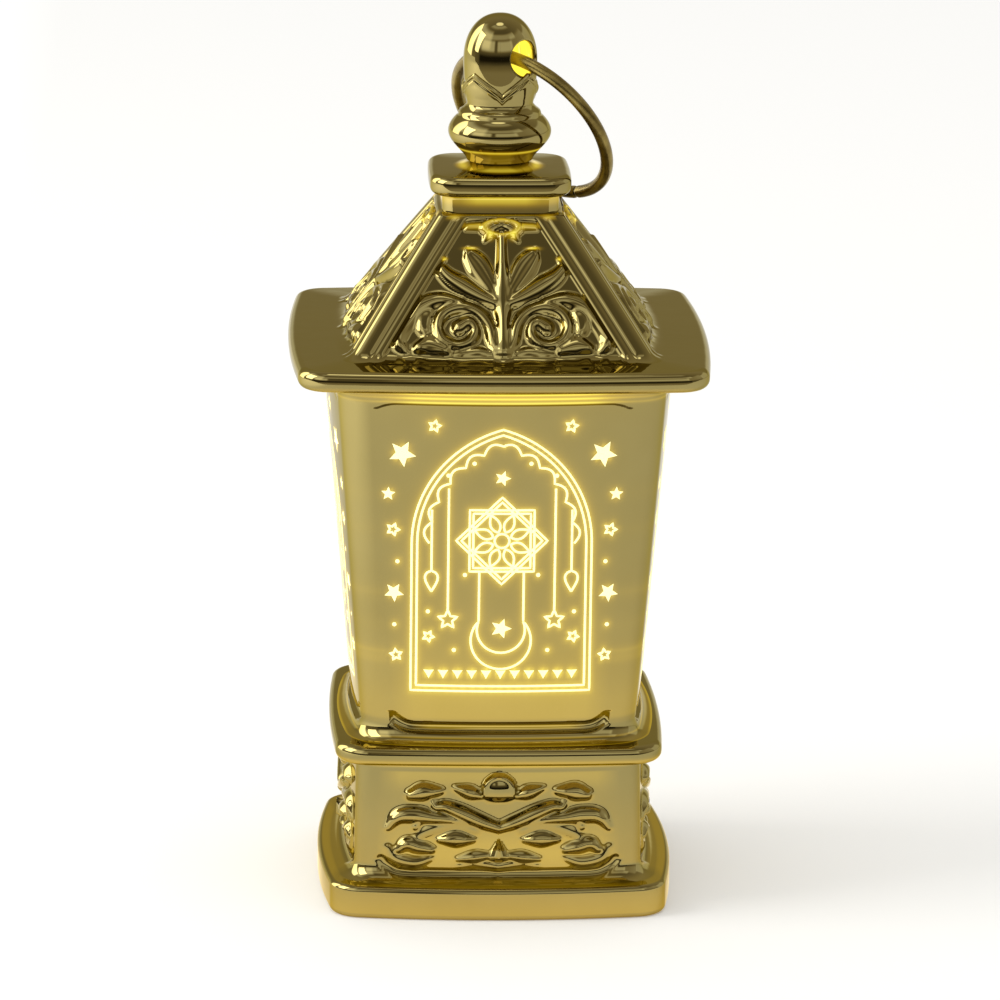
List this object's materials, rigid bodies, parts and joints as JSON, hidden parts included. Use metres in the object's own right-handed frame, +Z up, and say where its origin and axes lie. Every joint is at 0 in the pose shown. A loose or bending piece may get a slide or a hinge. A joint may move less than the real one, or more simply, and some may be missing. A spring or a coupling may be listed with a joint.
{
  "type": "ramadan fanous lantern",
  "caption": "Small square table lantern with a tapered lit body, a pyramid roof, a turned finial with a loose carry ring, and a battery base with a slide switch.",
  "frame": {"origin": "middle of the square footprint, on the surface that the lantern stands on", "axes": "+Z up through the finial, -Y towards the front panel, +X to the viewer's right"},
  "size_m": [0.0662, 0.0662, 0.1396],
  "materials": {
    "gold_skin": "vacuum-metallised mirror gold over warm translucent plastic",
    "antique_brass": "drawn brass wire, darkened",
    "ivory_plastic": "moulded, fine texture",
    "screw_steel": "zinc plated",
    "cell_steel": "nickel plated",
    "contact_steel": "nickel plated spring strip",
    "switch_steel": "tin plated",
    "terminal_brass": "tinned",
    "black_plastic": "moulded",
    "board_laminate": "solder mask over glass laminate",
    "resistor_coat": "dipped coating",
    "spacer_nylon": "moulded nylon",
    "led_epoxy": "clear epoxy, lit",
    "lead_wire": "tinned wire",
    "red_pvc": "PVC insulation",
    "black_pvc": "PVC insulation"
  },
  "bodies": {
    "lantern": {"finial_cap": "gold_skin", "roof_shell": "gold_skin", "body_shell": "gold_skin", "plinth_shell": "gold_skin", "base_plate": "ivory_plastic", "base_screws": "screw_steel", "battery_cell_1": "cell_steel", "battery_cell_2": "cell_steel", "battery_cell_3": "cell_steel", "positive_contact": "contact_steel", "negative_contact": "contact_steel", "switch_housing": "switch_steel", "switch_terminals": "terminal_brass", "circuit_board": "board_laminate", "resistor": "resistor_coat", "led_spacer": "spacer_nylon", "led": "led_epoxy", "led_lead_positive": "lead_wire", "led_lead_negative": "lead_wire", "red_wire": "red_pvc", "black_wire": "black_pvc", "switch_wire": "black_pvc"},
    "carry_ring": {"carry_ring": "antique_brass"},
    "switch_knob": {"switch_knob": "black_plastic"},
    "battery_door": {"battery_door": "ivory_plastic", "door_screw": "screw_steel"}
  },
  "joints": [
    {"name": "ring_swing", "type": "hinge", "parent": "lantern", "child": "carry_ring", "pos_m": [0, 0, 0.133], "axis": [0.7254, -0.6884, 0], "range_deg": [0, 293]},
    {"name": "switch_slide", "type": "slide", "parent": "lantern", "child": "switch_knob", "axis": [1, 0, 0], "range_m": [0, 0.002]},
    {"name": "door_slide", "type": "slide", "parent": "lantern", "child": "battery_door", "axis": [0, 0, -1], "range_m": [0, 0.015]}
  ]
}
